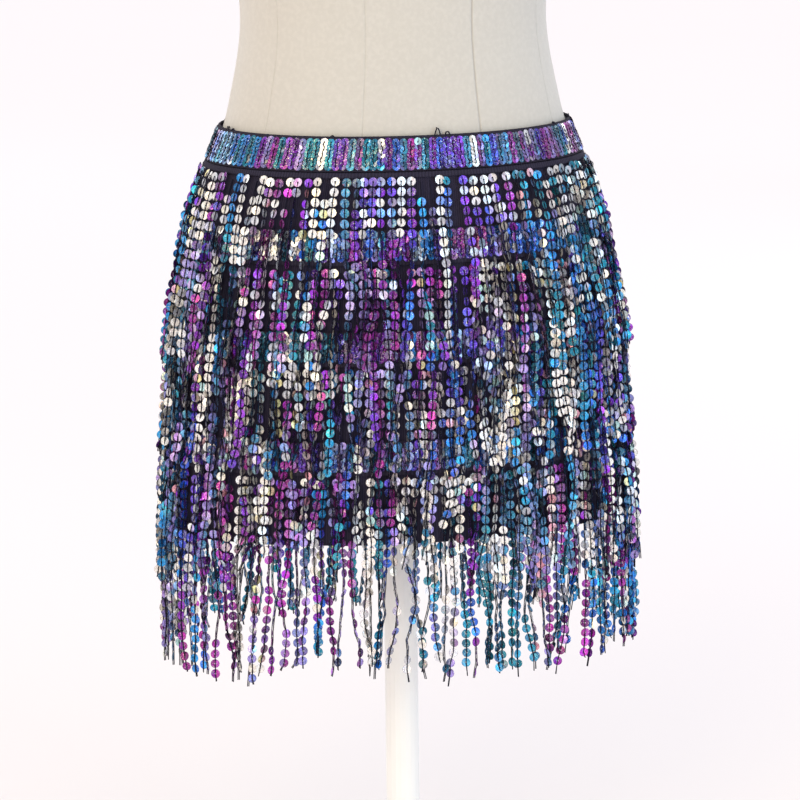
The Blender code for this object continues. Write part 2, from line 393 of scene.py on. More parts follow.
class Finish(Nodes):
    """A material with one Principled shader."""

    def __init__(self, name, **constants):
        self.material = bpy.data.materials.new(name)
        self.material.use_nodes = True
        super().__init__(self.material.node_tree)
        self.shader = self.tree.nodes["Principled BSDF"]
        for socket, value in constants.items():
            self.shader.inputs[socket.replace("_", " ")].default_value = value

    def feed(self, socket, wire):
        self.tree.links.new(wire.socket, self.shader.inputs[socket])

    def bump(self, height, strength, distance):
        values = {"Strength": strength, "Distance": distance, "Height": height}
        self.feed("Normal", self.add("ShaderNodeBump", values))

    def place(self):
        """The point in the object's own metres."""
        return self.add("ShaderNodeTexCoord", output="Object")

    def own(self, name, output="Fac"):
        """A value that the piece carries at its points."""
        return self.add("ShaderNodeAttribute", output=output, attribute_name=name)


def parts_of(nodes, vector):
    """The x, y and z of a vector."""
    split = nodes.add("ShaderNodeSeparateXYZ", {0: vector})
    return split, split.other("Y"), split.other("Z")


def jersey_finish():
    """Matte cream jersey, its seams darkened with painted shade along their grooves."""
    finish = Finish("Cream jersey cover", Sheen_Weight=0.25, Sheen_Roughness=0.6)
    place = finish.place()
    seam = finish.own("seam_distance")
    # Painted shade: a darker line along each seam's groove.
    line = seam.fade(0.0008, 0.0002)
    blotches = finish.noise(place, 9.0, 3.0)
    slub = finish.noise(place, 320.0, 2.0)
    plain = finish.mix(blotches, (0.532, 0.503, 0.455), (0.578, 0.555, 0.511))
    flecked = finish.mix(slub.fade(0.35, 0.75) * 0.35, plain, (0.66, 0.63, 0.58))
    finish.feed("Base Color", finish.mix(line * 0.5, flecked, (0.36, 0.32, 0.27)))
    finish.feed("Roughness", 0.86 + slub * 0.1)
    puckers = finish.noise(place, 130.0, 1.0) * seam.fade(0.006, 0.0)
    finish.bump(slub * 0.25 + puckers * 0.8 - line * 1.5, 0.5, 0.0006)
    return finish.material


def knit_finish(name, colour, lit, rib, across=True):
    """Black knit or elastic with fine ribs across or up the cloth; the lighter colour is a painted
    highlight on the rib crests, mixed with a random grain of tone.
    """
    finish = Finish(name, Specular_IOR_Level=0.25)
    u, v, _w = parts_of(finish, finish.own("cloth", "Vector"))
    wave = (u if across else v) * (2 * pi / rib)
    ribs = wave.math("SINE", wave)
    grain = finish.noise(finish.place(), 900.0, 2.0)
    # Painted highlight on the rib crests, with a random grain of tone.
    finish.feed("Base Color", finish.mix(ribs.fade(-1.0, 1.0) * 0.5 + grain * 0.5, colour, lit))
    finish.feed("Roughness", 0.8 + grain * 0.15)
    finish.bump(ribs * 0.5 + grain * 0.6, 0.7, 0.0004)
    return finish.material


def sequin_finish():
    """Iridescent film with an open hole, two tones, an upright grain and painted light: highlights, shade,
    glints of many hues, dark specks and a shaded rim.
    """
    gloss = {"Metallic": 0.68, "Coat_Weight": 0.22, "Coat_Roughness": 0.14, "Specular_IOR_Level": 0.3}
    finish = Finish("Iridescent sequins", **gloss)
    x, y, _z = parts_of(finish, finish.own("sequin_place", "Vector"))
    radius = (x * x + y * y) ** 0.5
    stretched = {0: x * 4.5, 1: y * 1.2, 2: finish.own("grain") * 90.0}
    grain_place = finish.add("ShaderNodeCombineXYZ", stretched)
    grain = finish.noise(grain_place, 1.0, 2.0, 0.65)
    speckle = finish.noise(finish.place(), 1300.0, 2.0, 0.7)
    # The other half of the fold takes the second tone, its painted light and shifted hue.
    tone, other_tone = finish.own("tone", "Color"), finish.own("other_tone", "Color")
    turned = finish.mix(x.fade(-0.08, 0.08), tone, other_tone)
    # Painted highlights and painted shade along the upright grain, as if the foil's streaks caught or
    # missed the lamps.
    streak_highlit = finish.mix(grain.fade(0.50, 0.72) * 0.7, turned, turned, blend="ADD")
    lit = finish.mix(grain.fade(0.60, 0.80) * 0.25, streak_highlit, (0.75, 0.78, 0.92))
    shaded = finish.mix(grain.fade(0.47, 0.24) * 0.6, lit, (0.025, 0.02, 0.08))
    # Painted glints of many hues, set in the speckle.
    cloud = finish.noise(finish.place(), 430.0, 1.0)
    glints = finish.add("ShaderNodeValToRGB", {0: cloud})
    set_stops(glints.socket.node.color_ramp, GLINTS)
    sparkling = finish.mix(speckle.fade(0.58, 0.67) * 0.75, shaded, glints)
    # Painted shade: dark specks in the crinkled film.
    speck_shaded = finish.mix(speckle.fade(0.43, 0.31) * 0.55, sparkling, (0.014, 0.014, 0.055))
    # Painted shade darkens each sequin's rim, where it meets the next.
    rim_shaded = finish.mix(radius.fade(0.84, 0.98) * 0.45, speck_shaded, (0.04, 0.03, 0.07))
    finish.feed("Base Color", rim_shaded)
    finish.feed("Alpha", radius.fade(HOLE_SHARE - 0.02, HOLE_SHARE + 0.02))
    finish.feed("Roughness", 0.16 + grain * 0.22)
    finish.bump(grain * 0.6 + speckle * 0.7, 0.5, 0.00025)
    return finish.material


def thread_finish():
    finish = Finish("Black sewing thread", Specular_IOR_Level=0.05)
    fuzz = finish.noise(finish.place(), 1400.0, 2.0)
    finish.feed("Base Color", finish.mix(fuzz, (0.006, 0.006, 0.013), (0.028, 0.026, 0.048)))
    finish.feed("Roughness", 0.70 + fuzz * 0.25)
    finish.bump(fuzz, 0.5, 0.0002)
    return finish.material


def paint_finish():
    """White powder coat, with a faint orange peel and rubbed patches."""
    finish = Finish("White powder coat", Coat_Roughness=0.2)
    place = finish.place()
    rubbed = finish.noise(place, 14.0, 5.0, 0.65).fade(0.56, 0.72)
    peel = finish.noise(place, 420.0, 1.0)
    finish.feed("Base Color", finish.mix(rubbed * 0.5, (0.93, 0.92, 0.91), (0.86, 0.85, 0.83)))
    finish.feed("Roughness", 0.36 + rubbed * 0.12 + peel * 0.06)
    finish.feed("Coat Weight", 0.25 - rubbed * 0.15)
    finish.bump(peel * 0.4 - rubbed * 0.15, 0.35, 0.0003)
    return finish.material


def wood_finish():
    """Turned wood under a thin cream paint: rings of grain show through."""
    finish = Finish("Cream painted wood")
    place = finish.place()
    stretched = finish.add("ShaderNodeMapping", {"Vector": place, "Scale": (60.0, 260.0, 260.0)})
    grain = finish.noise(stretched, 1.0, 4.0, 0.6)
    finish.feed("Base Color", finish.mix(grain.fade(0.42, 0.7), (0.76, 0.70, 0.60), (0.69, 0.62, 0.52)))
    finish.feed("Roughness", 0.38 + grain * 0.2)
    finish.bump(grain, 0.25, 0.0005)
    return finish.material


def floor_finish():
    """Plain pale floor, toned down a little where the lamps meet so that it looks even."""
    finish = Finish("Pale studio floor", Roughness=0.75)
    x, y, _z = parts_of(finish, finish.place())
    away = (x * x + y * y) ** 0.5
    cloud = finish.noise(finish.place(), 0.8, 2.0)
    even = finish.mix(cloud, (0.972, 0.934, 0.944), (0.988, 0.950, 0.960))
    finish.feed("Base Color", finish.mix(away.fade(4.6, 1.6), even, (0.835, 0.797, 0.808)))
    return finish.material


def show(name, data):
    """An object in the scene with this data."""
    made = bpy.data.objects.new(name, data)
    bpy.context.scene.collection.objects.link(made)
    return made


# The name under which an attribute's values are set, by its kind.
VALUE_SLOTS = {"FLOAT_COLOR": "color", "FLOAT_VECTOR": "vector", "FLOAT": "value"}


def add_mesh(name, points, faces, finish, values=None, smooth=True):
    """A named piece from its points and faces, with the values that its points carry."""
    data = bpy.data.meshes.new(name)
    data.from_pydata([tuple(p) for p in points], [], faces)
    for label, kind, numbers in values or ():
        layer = data.attributes.new(label, kind, "POINT")
        layer.data.foreach_set(VALUE_SLOTS[kind], np.ravel(numbers).astype(np.float32))
    data.materials.append(finish)
    if smooth:
        data.shade_smooth()
    return show(name, data)


def ring_faces(rows, columns, closed=False):
    """Faces between rows of a tube, facing out where the rows go up and the turns go forwards."""
    faces = []
    for row in range(rows if closed else rows - 1):
        low, high = row * columns, (row + 1) % rows * columns
        for i in range(columns):
            j = (i + 1) % columns
            faces.append((low + i, low + j, high + j, high + i))
    return faces


def cloth_tube(name, profile, columns, finish, ease=None):
    """A tube of cloth from its wall's outline, as closed rows of height and distance out.

    ease(turn, height) is how far a soft crease lifts the cloth there."""
    turns = np.arange(columns) / columns - 0.5
    arc = turns * girth_at(HIP_HEIGHT)
    points, cloth = [], []
    for height, out in profile:
        lift = ease(turns, height) if ease else 0.0
        points.append(on_form(turns, height, out + lift))
        cloth.append(np.stack((arc, np.full(columns, height), np.zeros(columns)), -1))
    faces = ring_faces(len(profile), columns, closed=True)
    values = [("cloth", "FLOAT_VECTOR", np.concatenate(cloth))]
    return add_mesh(name, np.concatenate(points), faces, finish, values)


def wall_outline(low, high, inside, wall, steps, rounded=0.0004):
    """A thin wall's outline: up its outer side, over a rounded top, down inside and round the bottom."""
    heights = np.linspace(low + rounded, high - rounded, steps)
    outside = inside + wall
    middle = inside + wall / 2
    return (
        [(h, outside) for h in heights]
        + [(high, middle)]
        + [(h, inside) for h in heights[::-1]]
        + [(low, middle)]
    )


# Seams of the form's cover, as their turn at three heights: the hem, the waist and the chest.
Seam = namedtuple("Seam", "hip waist chest")
LEFT_SEAMS = (
    Seam(0.056, 0.056, 0.083),
    Seam(0.160, 0.160, 0.165),
    Seam(0.250, 0.250, 0.250),
    Seam(0.360, 0.350, 0.350),
)
SEAMS = [Seam(-hip, -waist, -chest) for hip, waist, chest in LEFT_SEAMS[::-1]]
SEAMS += [*LEFT_SEAMS, Seam(0.500, 0.500, 0.500)]
SEAM_STEPS = (-0.0030, -0.0011, 0.0, 0.0011, 0.0030)  # columns beside a seam, as turns
SEAM_DEPTH = 0.00045
SEAM_REACH = 0.0012
SEAM_CLEAR = 0.0062  # plain columns stay this far from a seam, as turns
# The form's rounded lower edge, as heights and distances out.
ROUNDED_HEM = ((FORM_BOTTOM, -0.0080), (0.3197, -0.0052), (0.3212, -0.0026), (0.3232, -0.0008))
# How much finer each seam is than the crispest one, as a width that is taken off it, back seam first.
SEAM_CALM = np.array((0.0, 0.0004, 0.0004, 0.0005, 0.0005, 0.0, 0.0004, 0.0004, 0.0004, 0.0))


def seam_turns(height):
    """The turn of each seam at a height. They spread below the waist and shift above it."""
    hip, waist, chest = np.array(SEAMS).T
    drop = np.clip((WAIST_HEIGHT - height) / 0.3, 0, 1)
    rise = np.clip((height - 0.70) / 0.14, 0, 1)
    return waist + (hip - waist) * drop + (chest - waist) * rise**2 * (3 - 2 * rise)


def add_form(finish):
    """The padded torso with its cover's seams drawn in as fine grooves."""
    nominal = seam_turns(WAIST_HEIGHT)
    plain = np.arange(-0.5, 0.5, 1 / 132)
    plain = plain[[np.abs(t - np.append(nominal, -0.5)).min() > SEAM_CLEAR for t in plain]]
    beside = np.concatenate([nominal[:-1] + step for step in SEAM_STEPS])
    back = np.array([(0.5 + step + 0.5) % 1 - 0.5 for step in SEAM_STEPS])
    columns = np.sort(np.concatenate((plain, beside, back)))
    knots = np.concatenate(([-0.5], nominal[:-1], [0.5]))

    rows = []
    heights = np.concatenate((np.arange(0.326, 1.02, 0.007), np.arange(1.02, FORM_TOP - 0.001, 0.004)))
    levels = list(ROUNDED_HEM)
    levels += [(h, 0.0) for h in heights] + [(FORM_TOP - 0.0008, 0.0), (FORM_TOP, -0.0010)]
    distances = []
    for height, out in levels:
        moved = np.concatenate(([-0.5], seam_turns(height)[:-1], [0.5]))
        turns = np.interp(columns, knots, moved)
        girth = girth_at(height)
        apart = np.abs((turns[:, None] - moved[None, :] + 0.5) % 1 - 0.5) * girth
        away = (apart + SEAM_CALM).min(1)
        groove = SEAM_DEPTH * np.clip(1 - away / SEAM_REACH, 0, 1)
        rows.append(on_form(turns, height, out - groove))
        distances.append(away)
    count = len(columns)
    faces = ring_faces(len(rows), count)
    points = [np.concatenate(rows)]
    distances = [np.concatenate(distances)]
    # The underside and the neck's top close towards the middle.
    for row, upwards in ((0, False), (len(rows) - 1, True)):
        ring = rows[row]
        start = row * count
        for share in (0.66, 0.33):
            made = sum(len(p) for p in points)
            points.append(ring * (share, share, 1))
            distances.append(np.full(count, 0.02))
            for i in range(count):
                j = (i + 1) % count
                quad = (start + i, start + j, made + j, made + i)
                faces.append(quad if upwards else quad[::-1])
            start = made
        middle = sum(len(p) for p in points)
        points.append(np.array([[0.0, 0.0, ring[0, 2]]]))
        distances.append(np.full(1, 0.02))
        for i in range(count):
            j = (i + 1) % count
            faces.append((start + i, start + j, middle) if upwards else (start + j, start + i, middle))
    values = [("seam_distance", "FLOAT", np.concatenate(distances))]
    return add_mesh("form_torso_cover", np.concatenate(points), faces, finish, values)


def wander(chance, count, reach):
    """A smooth random walk about zero, changing over so many steps."""
    knots = chance.normal(0, 1, int(count / reach) + 3)
    place = np.arange(count) / reach + chance.uniform(0, 1)
    low = place.astype(int)
    share = place - low
    share = share * share * (3 - 2 * share)
    return knots[low] * (1 - share) + knots[low + 1] * share


def hue_colour(phase):
    """A colour from the circle of hues, blending from one to the next."""
    phase = phase % len(HUES)
    low = phase.astype(int) % len(HUES)
    share = (phase - low)[:, None]
    share = share * share * (3 - 2 * share)
    return HUES[low] * (1 - share) + HUES[(low + 1) % len(HUES)] * share


def dye(chance, turns, heights, phase, pale, kinds, spread, shade=1.0):
    """The two tones of each sequin of a strand, pulled by the patches of colour near it. The second tone is
    painted light: the other half of the folded sequin drawn brighter or darker, with a shift of hue.

    spread is how much their brightness varies, and shade brightens or darkens the hues."""
    phase, pale = phase.copy(), pale.copy()
    for patch in PATCHES:
        away = (turns - patch.turn + 0.5) % 1 - 0.5
        above = (heights - patch.height) / patch.reach_height
        near = np.exp(-((away / patch.reach_turn) ** 2) - above**2)
        pull = (patch.hue - phase + len(HUES) / 2) % len(HUES) - len(HUES) / 2
        phase += pull * near * patch.strength
        pale += near * patch.pale
    count = len(turns)
    brightness = np.exp(chance.normal(0, spread, count))[:, None]
    tones = []
    # The second pass gives the other half of the fold its painted light: a shifted hue and paleness and a
    # changed brightness.
    for shift in (0.0, 0.30):
        colour = hue_colour(phase + shift + chance.normal(0, 0.15, count)) * shade
        light = pale + shift * chance.normal(0, 0.6, count)
        share = np.clip((light - PALE_START) / PALE_SPAN, 0, 1)[:, None]
        colour = colour * (1 - share) + PALES[kinds] * share
        smoke = np.clip((SMOKE_START - light) / SMOKE_SPAN, 0, 0.8)[:, None]
        colour = colour * (1 - smoke) + SMOKE * smoke
        # Painted highlight: the palest sequins flare warm white, as if face-on to a lamp.
        flare = np.clip((light - FLARE_START) / FLARE_SPAN, 0, 0.9)[:, None]
        tones.append(np.clip(colour * brightness * (1 - flare) + FLARE * flare, 0.004, 0.98))
        brightness = brightness * np.exp(chance.normal(-0.05, 0.22, count))[:, None]
    return tones


class Strung:
    """Gathers the points at which sequins sit, and the threads from one to the next."""

    def __init__(self):
        labels = ("point", "face", "along", "tone", "other_tone", "bare", "size", "grain")
        self.lists = {label: [] for label in labels}
        self.edges = []
        self.count = 0

    def add(self, chance, points, faces, along, tones, bare, scale=1.0):
        count = len(points)
        sizes = scale * (1 + chance.normal(0, 0.015, count))
        rows = (points, faces, along, tones[0], tones[1], bare, sizes, chance.uniform(0, 1, count))
        for label, numbers in zip(self.lists, rows):
            self.lists[label].append(np.asarray(numbers, float))
        self.edges += [(self.count + i, self.count + i + 1) for i in range(count - 1)]
        self.count += count

    def mesh_object(self, name):
        data = bpy.data.meshes.new(name)
        gathered = {label: np.concatenate(rows) for label, rows in self.lists.items()}
        data.from_pydata(gathered.pop("point").tolist(), self.edges, [])
        for label, numbers in gathered.items():
            kind = "FLOAT_COLOR" if "tone" in label else "FLOAT_VECTOR" if numbers.ndim == 2 else "FLOAT"
            layer = data.attributes.new(label, kind, "POINT")
            if kind == "FLOAT_COLOR":
                numbers = np.hstack((numbers, np.ones((len(numbers), 1))))
            layer.data.foreach_set(VALUE_SLOTS[kind], np.ravel(numbers).astype(np.float32))
        return show(name, data)


def turned_faces(outward, along, twist, tip):
    """The facing of each sequin: out of the form, twisted about its strand and tipped up or down."""
    level = unit(outward - (outward * along).sum(-1, keepdims=True) * along)
    aside = np.cross(along, level)
    face = level * np.cos(twist)[:, None] + aside * np.sin(twist)[:, None]
    return unit(face * np.cos(tip)[:, None] + along * np.sin(tip)[:, None])


def add_strand(strung, chance, tier, turn, sequins, lean, close, colour, twist_start):
    """One hanging strand. lean is how far it strays sideways by its end, and close is how much further its
    last sequins draw to the side."""
    phase, pale, kind = colour
    central = abs((turn - CALM_TURN + 0.5) % 1 - 0.5) < CALM_REACH
    held_flat = chance.uniform(0.5, 1.3) * (chance.uniform() < FLAT_ODDS[0 if central else 1])
    missing = chance.choice(len(FIRST_LOST), p=FIRST_LOST)
    top = tier.hang[0][0]
    heights = np.arange(top - 0.0004, top - 0.20, -0.001)
    knots = np.array(tier.hang)[::-1]
    out = np.interp(heights, knots[:, 0], knots[:, 1])
    line = on_form(turn, heights, out)
    walked = np.concatenate(([0], np.cumsum(np.linalg.norm(np.diff(line, axis=0), axis=1))))
    start = SEQUIN_WIDTH * 0.52 + abs(chance.normal(0, tier.uneven * (1 if central else ROUGH_START)))
    pitch = STRAND_PITCH * (1 + chance.normal(0, tier.uneven * 8))
    places = start + np.arange(sequins) * pitch + np.cumsum(chance.normal(0, 0.00014, sequins))
    tail = places[-1] + SEQUIN_WIDTH * 0.5 + chance.choice(TAILS, p=TAIL_ODDS)
    places = np.append(places, tail)
    points = np.stack([np.interp(places, walked, line[:, axis]) for axis in range(3)], -1)

    count = len(places)
    share = places / places[-1]
    aside = unit(np.cross((0, 0, 1), outward_at(turn, points[:, 2])))
    sway = lean * share**1.5 + close * np.clip((share - CLOSE_FROM) / CLOSE_SPAN, 0, 1) ** 1.4
    sway = sway + wander(chance, count, 5.0) * SWAY * tier.freedom * share
    sway = sway + chance.normal(0, 0.0003, count) * (0.6 + share)
    proud = chance.uniform(0, 0.0010) + np.abs(wander(chance, count, 6.0)) * 0.0014 * share
    outward = outward_at(np.full(count, turn), points[:, 2])
    points = points + aside * sway[:, None] + outward * proud[:, None]

    along = unit(-np.gradient(points, axis=0))
    row = np.arange(count)
    looseness = np.clip((row - tier.flat_rows * held_flat) / 2.5, 0, 1)
    twist = twist_start * looseness + wander(chance, count, 5.0) * tier.freedom * looseness
    twist = twist + chance.normal(0, 0.12, count) + wander(chance, count, 9.0) * 0.16
    tip = chance.normal(0.02, 0.14, count)
    faces = turned_faces(outward, along, twist, tip)

    phases = phase + wander(chance, count, 5.0) * 0.9
    pales = pale + wander(chance, count, 3.0) * 0.34 + chance.normal(0, 0.25, count)
    own_kinds = chance.uniform(0, 1, count) < 0.3
    kinds = np.where(own_kinds, chance.choice(len(PALES), count, p=PALE_SHARES), kind)
    place = np.full(count, turn), points[:, 2]
    tones = dye(chance, *place, phases, pales, kinds, STRAND_SPREAD, STRAND_SHADE)
    bare = (row == count - 1) | (chance.uniform(0, 1, count) < LOST_ODDS) | (row < missing)
    strung.add(chance, points, faces, along, tones, bare)


def groups_of(chance, count, reach, paleness, least_leap=0.0):
    """Values that neighbours share in runs of about reach: a place on the circle of hues, a paleness and a
    kind of pale colour. least_leap keeps one run's hue apart from the next."""
    phases, pales, kinds = np.zeros(count), np.zeros(count), np.zeros(count, int)
    phase, pale, kind = chance.uniform(0, len(HUES)), 0.0, 0
    for i in range(count):
        if chance.uniform() < 1 / reach:
            leap = chance.normal(0, 2.2)
            phase = phase + leap + (least_leap if leap > 0 else -least_leap)
            pale = paleness + chance.normal(0, 0.54)
            kind = chance.choice(len(PALES), p=PALE_SHARES)
        phases[i], pales[i], kinds[i] = phase, pale, kind
    return phases, pales, kinds


def hang_tier(number, tier):
    """All the strands of one tier. Neighbours in pairs are one loop of thread, and draw together below."""
    chance = np.random.default_rng(310 + number)
    strung = Strung()
    turns = even_turns(tier.strands, tier.tape_bottom, TRIM_START)
    half_pitch = girth_at(tier.tape_bottom) / tier.strands / 2
    colours = list(zip(*groups_of(chance, tier.strands, 1.5, STRAND_PALENESS)))
    pairs = range(0, tier.strands - 1, 2)
    gathers = wander(chance, len(pairs), 1.5) * GATHER * tier.freedom
    for pair, gather in zip(pairs, gathers):
        draw = chance.uniform(0, 1.0) * (half_pitch - 0.0012)
        close = (half_pitch - CLOSED_GAP - draw) * (chance.uniform() < CLOSED_ODDS)
        drift = gather + chance.normal(0, DRIFT)
        if chance.uniform() < STRAY_ODDS:
            drift += chance.choice((-1, 1)) * chance.uniform(*STRAY_REACH)
        shortages = SHORTAGES[number - 1]
        short = int(chance.choice(len(shortages), p=shortages))
        if FULL_TURNS[0] < turns[pair] % 1 < FULL_TURNS[1]:
            short //= FULL_SHARE
        sequins = tier.sequins - short
        start = chance.normal(0, PAIR_TWIST)
        for i, side in ((pair, 1), (pair + 1, -1)):
            turn = turns[i] + chance.normal(0, 0.0010)
            each = sequins - int(close == 0 and chance.uniform() < SHORTER_ODDS)
            twist_start = start * side + chance.normal(0, OWN_TWIST)
            lean = side * draw + drift
            add_strand(strung, chance, tier, turn, each, lean, side * close, colours[i], twist_start)
    return strung


def sew_columns(strung, chance, top, count, rows, pitch, out, paleness, unrest, shade):
    """Upright columns of overlapping sequins, sewn on a band or a tape like tiles."""
    turns = even_turns(count, top - 0.010, TRIM_START)
    row = np.arange(rows)
    for turn, phase, pale, kind in zip(turns, *groups_of(chance, count, 1.15, paleness, 0.9)):
        heights = top - SEQUIN_WIDTH * HEADER_SCALE / 2 - row * pitch + chance.normal(0, 0.00025)
        place = turn + chance.normal(0, 0.0003, rows)
        points = on_form(place, heights, out + chance.normal(0, 0.00008, rows))
        outward = outward_at(place, heights)
        along = unit(-np.gradient(points, axis=0))
        twist = chance.normal(0, 0.07 * unrest) + chance.normal(0, 0.05 * unrest, rows)
        tip = 0.13 + chance.normal(0, 0.04, rows)
        faces = turned_faces(outward, along, twist, tip)
        phases = phase + wander(chance, rows, 4.0) * 0.3
        pales = pale + wander(chance, rows, 3.0) * 0.24
        kinds = np.full(rows, kind)
        tones = dye(chance, place, heights, phases, pales, kinds, COLUMN_SPREAD, shade)
        # The thread crosses from side to side between one sequin and the next.
        swing = THREAD_SWING * np.where(row % 2, 1, -1) + chance.normal(0, 0.0002, rows)
        sides = np.cross(along, faces) * swing[:, None]
        crossing = (points[:-1] + points[1:]) / 2 + sides[:-1] - faces[:-1] * THREAD_DIP
        order = np.argsort(np.concatenate((row, row[:-1] + 0.5)))
        both = [np.concatenate((kept, kept[:-1]))[order] for kept in (faces, along, *tones)]
        bare = np.concatenate((np.zeros(len(points)), np.ones(len(crossing))))[order]
        strand = np.concatenate((points, crossing))[order]
        strung.add(chance, strand, both[0], both[1], both[2:], bare, HEADER_SCALE)


# Small loops of thread that stick up from the waistband's top edge: turn and height.
LOOSE_ENDS = (
    (-0.221, 0.0030), (-0.209, 0.0022), (-0.083, 0.0018), (0.012, 0.0062), (0.021, 0.0030), (0.152, 0.0020),
    (0.214, 0.0034), (0.305, 0.0026), (0.371, 0.0045), (0.462, 0.0020), (-0.418, 0.0036), (-0.317, 0.0024),
)


def add_loose_end(strung, chance, turn, rise):
    """A small loop of sewing thread above the band's edge."""
    share = np.linspace(0, 1, 7)
    turns = turn + (share - 0.5) * 0.0055 + chance.normal(0, 0.0005, 7)
    heights = BAND_TOP - BAND_MARGIN + np.sin(share * pi) * rise
    points = on_form(turns, heights, BAND_INSIDE + BAND_WALL * 0.6)
    outward = outward_at(turns, heights)
    along = unit(np.gradient(points, axis=0))
    plain = np.full((7, 3), 0.01)
    strung.add(chance, points, outward, along, (plain, plain), np.ones(7))


def string_tree():
    """Geometry nodes that set a sequin on each point and run a thread along both its faces."""
    tree = bpy.data.node_groups.new("Strung sequins", "GeometryNodeTree")
    sockets = (
        ("Strands", "Geometry", None),
        ("Sequin width", "Float", SEQUIN_WIDTH),
        ("Sequin middle", "Float", SEQUIN_MIDDLE),
        ("Sequin sides", "Int", SEQUIN_SIDES),
        ("Fold", "Float", SEQUIN_FOLD),
        ("Thread width", "Float", THREAD_WIDTH),
        ("Thread lift", "Float", THREAD_LIFT),
        ("Sequin film", "Material", None),
        ("Thread", "Material", None),
    )
    for name, kind, value in sockets:
        made = tree.interface.new_socket(name, in_out="INPUT", socket_type="NodeSocket" + kind)
        if value is not None:
            made.default_value = value
    tree.interface.new_socket("Fringe", in_out="OUTPUT", socket_type="NodeSocketGeometry")
    nodes = Nodes(tree)

    def geometry(kind, values, **settings):
        return nodes.add("GeometryNode" + kind, values, **settings)

    given = nodes.add("NodeGroupInput")
    radius = given.other("Sequin width") / 2

    # One sequin: a disc folded along the line of its thread, thickest at the hole.
    circle_values = {"Vertices": given.other("Sequin sides"), "Radius": radius}
    disc = geometry("MeshCircle", circle_values, fill_type="TRIANGLE_FAN")
    place = nodes.add("GeometryNodeInputPosition")
    x, _y, _z = parts_of(nodes, place)
    own_place = nodes.add("ShaderNodeVectorMath", {0: place, "Scale": 1 / radius}, operation="SCALE")
    mark = {"Geometry": disc, "Name": "sequin_place", "Value": own_place}
    marked = geometry("StoreNamedAttribute", mark, data_type="FLOAT_VECTOR", domain="POINT")
    length = nodes.add("ShaderNodeVectorMath", {0: place}, output="Value", operation="LENGTH")
    middle = length < radius * 0.5
    fold = nodes.add("ShaderNodeCombineXYZ", {2: abs(x) * given.other("Fold")})
    folded = geometry("SetPosition", {"Geometry": marked, "Offset": fold})
    halves = []
    for side in (0.5, -0.5):
        bulge = nodes.add("ShaderNodeCombineXYZ", {2: given.other("Sequin middle") * middle * side})
        half = geometry("SetPosition", {"Geometry": folded, "Offset": bulge})
        halves.append(half if side > 0 else geometry("FlipFaces", {"Mesh": half}))
    both = geometry("JoinGeometry", {"Geometry": halves})
    sequin = geometry("MergeByDistance", {"Geometry": both, "Distance": 0.00002})

    def own(name, kind):
        return geometry("InputNamedAttribute", {"Name": name}, data_type=kind)

    facing, upward = own("face", "FLOAT_VECTOR"), own("along", "FLOAT_VECTOR")
    bare, size = own("bare", "FLOAT"), own("size", "FLOAT")
    axes = {"Primary Axis": facing, "Secondary Axis": upward}
    turned = nodes.add("FunctionNodeAxesToRotation", axes, primary_axis="Z", secondary_axis="Y")
    sitting = geometry(
        "InstanceOnPoints",
        {"Points": given, "Selection": bare < 0.5, "Instance": sequin, "Rotation": turned, "Scale": size},
    )
    sequins = geometry("RealizeInstances", {"Geometry": sitting})
    shading = {"Geometry": sequins, "Shade Smooth": False}
    flat = geometry("SetShadeSmooth", shading, domain="FACE")
    film = {"Geometry": flat, "Material": given.other("Sequin film")}
    covered = geometry("SetMaterial", film)

    # A thread across the front of every sequin and another across its back.
    round_cord = {"Resolution": 3, "Radius": given.other("Thread width") / 2}
    cord = geometry("CurvePrimitiveCircle", round_cord)
    threads = []
    for side in (1, -1):
        reach = {0: facing, "Scale": given.other("Thread lift") * side}
        lift = nodes.add("ShaderNodeVectorMath", reach, operation="SCALE")
        moved = geometry("SetPosition", {"Geometry": given, "Offset": lift})
        line = geometry("MeshToCurve", {"Mesh": moved})
        drawn = {"Curve": line, "Profile Curve": cord, "Fill Caps": True}
        threads.append(geometry("CurveToMesh", drawn))
    sewn = geometry("JoinGeometry", {"Geometry": threads})
    thread = {"Geometry": sewn, "Material": given.other("Thread")}
    black = geometry("SetMaterial", thread)
    whole = geometry("JoinGeometry", {"Geometry": [covered, black]})
    ready = geometry("RealizeInstances", {"Geometry": whole})
    nodes.add("NodeGroupOutput", {0: ready})
    return tree


def string_sequins(strung, name, tree, film, thread):
    """Runs the nodes over the gathered strands and keeps the result as a plain mesh."""
    strands = strung.mesh_object(name + "_strands")
    modifier = strands.modifiers.new("Strung", "NODES")
    modifier.node_group = tree
    by_name = {item.name: item.identifier for item in tree.interface.items_tree if item.in_out == "INPUT"}
    modifier[by_name["Sequin film"]] = film
    modifier[by_name["Thread"]] = thread
    made = strands.evaluated_get(bpy.context.evaluated_depsgraph_get())
    data = bpy.data.meshes.new_from_object(made)
    data.name = name
    for label in ("face", "along", "bare", "size"):
        layer = data.attributes.get(label)
        if layer:
            data.attributes.remove(layer)
    bpy.data.objects.remove(strands, do_unlink=True)
    return show(name, data)


def add_camera():
    """The photo's view: from in front, a little to the form's right, above the hem and a touch tilted."""
    turn, rise, distance = radians(-12.5), radians(11.0), 2.9
    toward = Vector((sin(turn) * cos(rise), -cos(turn) * cos(rise), sin(rise)))
    aside = Vector((cos(turn), sin(turn), 0))
    data = bpy.data.cameras.new("photo_camera")
    data.sensor_width = 36
    data.lens = 176.3
    data.clip_end = 100
    camera = show("photo_camera", data)
    camera.location = Vector((0, 0, 0.3832)) + aside * 0.0014 + toward * distance
    tilt = Quaternion((0, 0, 1), radians(-0.7))
    camera.rotation_euler = ((-toward).to_track_quat("-Z", "Y") @ tilt).to_euler()
    bpy.context.scene.camera = camera


def add_light(name, place, aim, size, power, colour):
    data = bpy.data.lights.new(name, "AREA")
    data.shape = "DISK"
    data.size = size
    data.energy = power
    data.color = colour
    light = show(name, data)
    light.location = place
    light.rotation_euler = (Vector(place) - Vector(aim)).to_track_quat("Z", "Y").to_euler()


